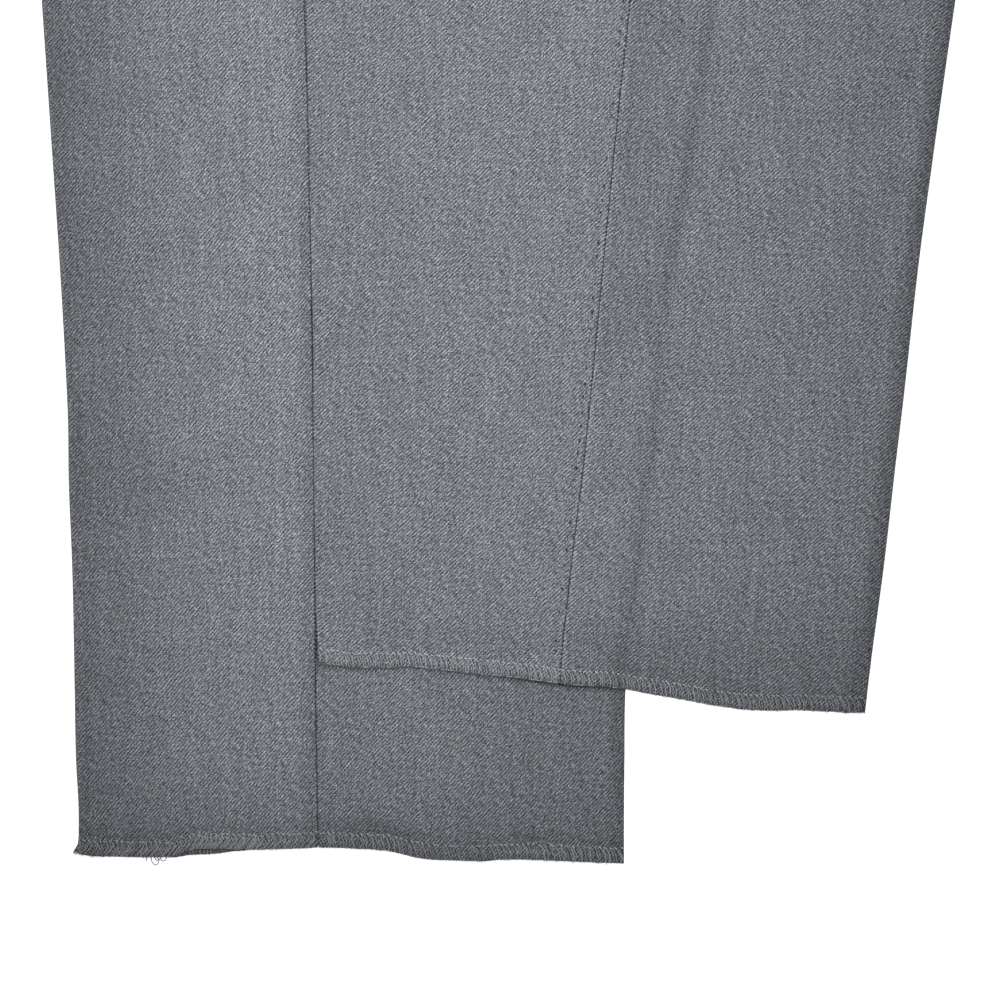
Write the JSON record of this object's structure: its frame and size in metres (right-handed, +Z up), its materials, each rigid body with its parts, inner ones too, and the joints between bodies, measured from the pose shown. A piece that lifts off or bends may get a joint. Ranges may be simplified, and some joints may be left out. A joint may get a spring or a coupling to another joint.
{
  "type": "pleated dress trousers",
  "caption": "Pleated grey twill dress trousers laid flat in three-quarter view, legs overlapping, with raw overlocked hems and a buttoned waistband.",
  "frame": {"origin": "middle of the footprint, on the surface that the trousers lie on", "axes": "+Z up from the surface, +Y along the legs towards the waist, +X towards the seat side of the lay"},
  "size_m": [0.496, 1.2102, 0.0113],
  "materials": {
    "grey_twill": "matt heathered wool twill",
    "button_grey": "satin"
  },
  "bodies": {
    "root": {"right_front": "grey_twill", "right_back": "grey_twill", "left_front": "grey_twill", "left_back": "grey_twill", "waistband_left": "grey_twill", "waistband_right": "grey_twill", "fly": "grey_twill", "waist_button": "button_grey"}
  },
  "joints": []
}
